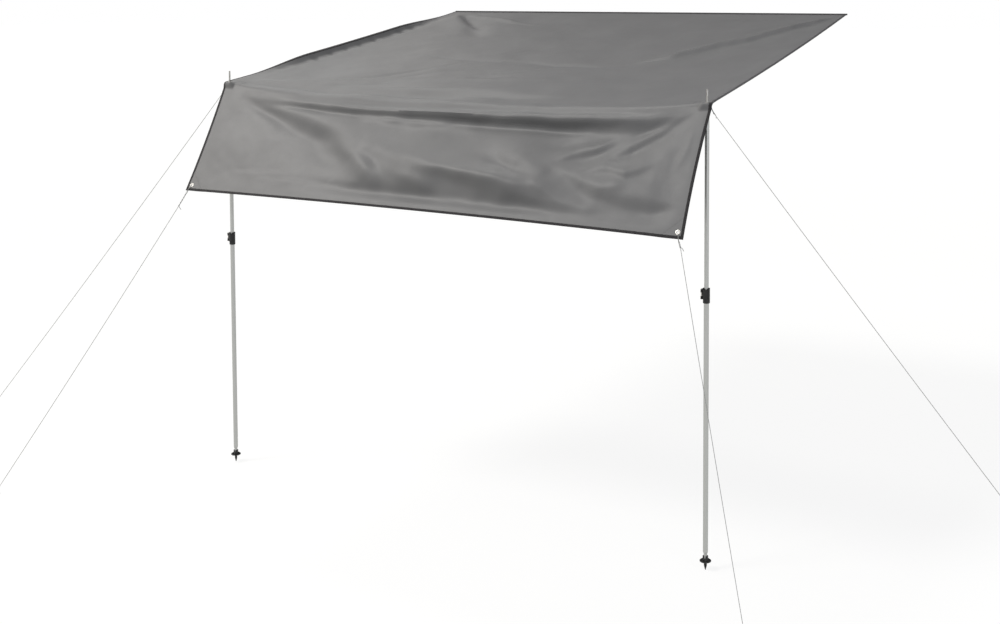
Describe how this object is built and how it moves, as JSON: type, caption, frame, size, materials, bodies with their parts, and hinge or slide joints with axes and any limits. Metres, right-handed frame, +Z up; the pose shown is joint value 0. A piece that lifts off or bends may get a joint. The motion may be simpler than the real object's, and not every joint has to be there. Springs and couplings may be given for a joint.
{
  "type": "caravan sun canopy",
  "caption": "Fabric sun canopy for a caravan awning rail: a sloping roof with a front flap on two telescopic poles with clamps, held out by guy lines and pegs.",
  "frame": {"origin": "middle of the keder bead, half way along the awning rail", "axes": "+X along the rail, to the right as seen from the front; +Y towards the caravan; +Z up"},
  "size_m": [6.2178, 3.1774, 2.4923],
  "materials": {
    "canopy_fabric": "coated woven polyester, smooth satin, grey",
    "patch_fabric": "the same coated polyester, doubled",
    "binding_tape": "matt woven tape, dark grey",
    "keder_cord": "solid PVC core cord",
    "eyelet_metal": "nickel-plated, satin",
    "guy_cord": "braided polyester cord, off-white",
    "peg_steel": "zinc-plated wire",
    "pole_tube": "galvanised tube, satin light grey",
    "black_plastic": "moulded nylon, fine matt grain, black",
    "bright_steel": "zinc-plated, bright"
  },
  "bodies": {
    "canopy": {"canopy_sheet": "canopy_fabric", "ridge_patch_left": "patch_fabric", "ridge_patch_right": "patch_fabric", "corner_patch_left": "patch_fabric", "corner_patch_right": "patch_fabric", "side_binding_left": "binding_tape", "side_binding_right": "binding_tape", "front_binding": "binding_tape", "keder_tape": "binding_tape", "keder_bead": "keder_cord", "ridge_eyelet_left": "eyelet_metal", "ridge_eyelet_right": "eyelet_metal", "corner_eyelet_left": "eyelet_metal", "corner_eyelet_right": "eyelet_metal", "ridge_washer_left": "eyelet_metal", "ridge_washer_right": "eyelet_metal", "corner_washer_left": "eyelet_metal", "corner_washer_right": "eyelet_metal", "left_ridge_guy_line": "guy_cord", "right_ridge_guy_line": "guy_cord", "left_corner_guy_line": "guy_cord", "right_corner_guy_line": "guy_cord", "left_ridge_guy_tie": "guy_cord", "right_ridge_guy_tie": "guy_cord", "left_corner_guy_tie": "guy_cord", "right_corner_guy_tie": "guy_cord", "left_ridge_peg_tie": "guy_cord", "right_ridge_peg_tie": "guy_cord", "left_corner_peg_tie": "guy_cord", "right_corner_peg_tie": "guy_cord", "left_ridge_peg": "peg_steel", "right_ridge_peg": "peg_steel", "left_corner_peg": "peg_steel", "right_corner_peg": "peg_steel"},
    "upper_pole_left": {"upper_tube_left": "pole_tube", "slide_bush_left": "black_plastic", "top_plug_left": "black_plastic", "top_spike_left": "bright_steel"},
    "lower_pole_left": {"lower_tube_left": "pole_tube", "foot_left": "black_plastic", "clamp_collar_left": "black_plastic", "lever_pin_left": "bright_steel", "clamp_screw_left": "bright_steel"},
    "lever_left": {"clamp_lever_left": "black_plastic"},
    "upper_pole_right": {"upper_tube_right": "pole_tube", "slide_bush_right": "black_plastic", "top_plug_right": "black_plastic", "top_spike_right": "bright_steel"},
    "lower_pole_right": {"lower_tube_right": "pole_tube", "foot_right": "black_plastic", "clamp_collar_right": "black_plastic", "lever_pin_right": "bright_steel", "clamp_screw_right": "bright_steel"},
    "lever_right": {"clamp_lever_right": "black_plastic"}
  },
  "joints": [
    {"name": "pole_lean_left", "type": "hinge", "parent": "canopy", "child": "upper_pole_left", "pos_m": [-1.273, -2.195, -0.3274], "axis": [1, 0, 0], "range_deg": [-8, 8]},
    {"name": "pole_slide_left", "type": "slide", "parent": "upper_pole_left", "child": "lower_pole_left", "axis": [0.0248, 0.0174, 0.9995], "range_m": [0, 0.6]},
    {"name": "lever_turn_left", "type": "hinge", "parent": "lower_pole_left", "child": "lever_left", "pos_m": [-1.3102, -2.21889, -1.11995], "axis": [-0.0248, -0.0174, -0.9995], "range_deg": [0, 120]},
    {"name": "pole_lean_right", "type": "hinge", "parent": "canopy", "child": "upper_pole_right", "pos_m": [1.273, -2.195, -0.3274], "axis": [1, 0, 0], "range_deg": [-8, 8]},
    {"name": "pole_slide_right", "type": "slide", "parent": "upper_pole_right", "child": "lower_pole_right", "axis": [-0.0248, 0.0174, 0.9995], "range_m": [0, 0.6]},
    {"name": "lever_turn_right", "type": "hinge", "parent": "lower_pole_right", "child": "lever_right", "pos_m": [1.27521, -2.2189, -1.12082], "axis": [0.0248, -0.0174, -0.9995], "range_deg": [0, 120]}
  ]
}
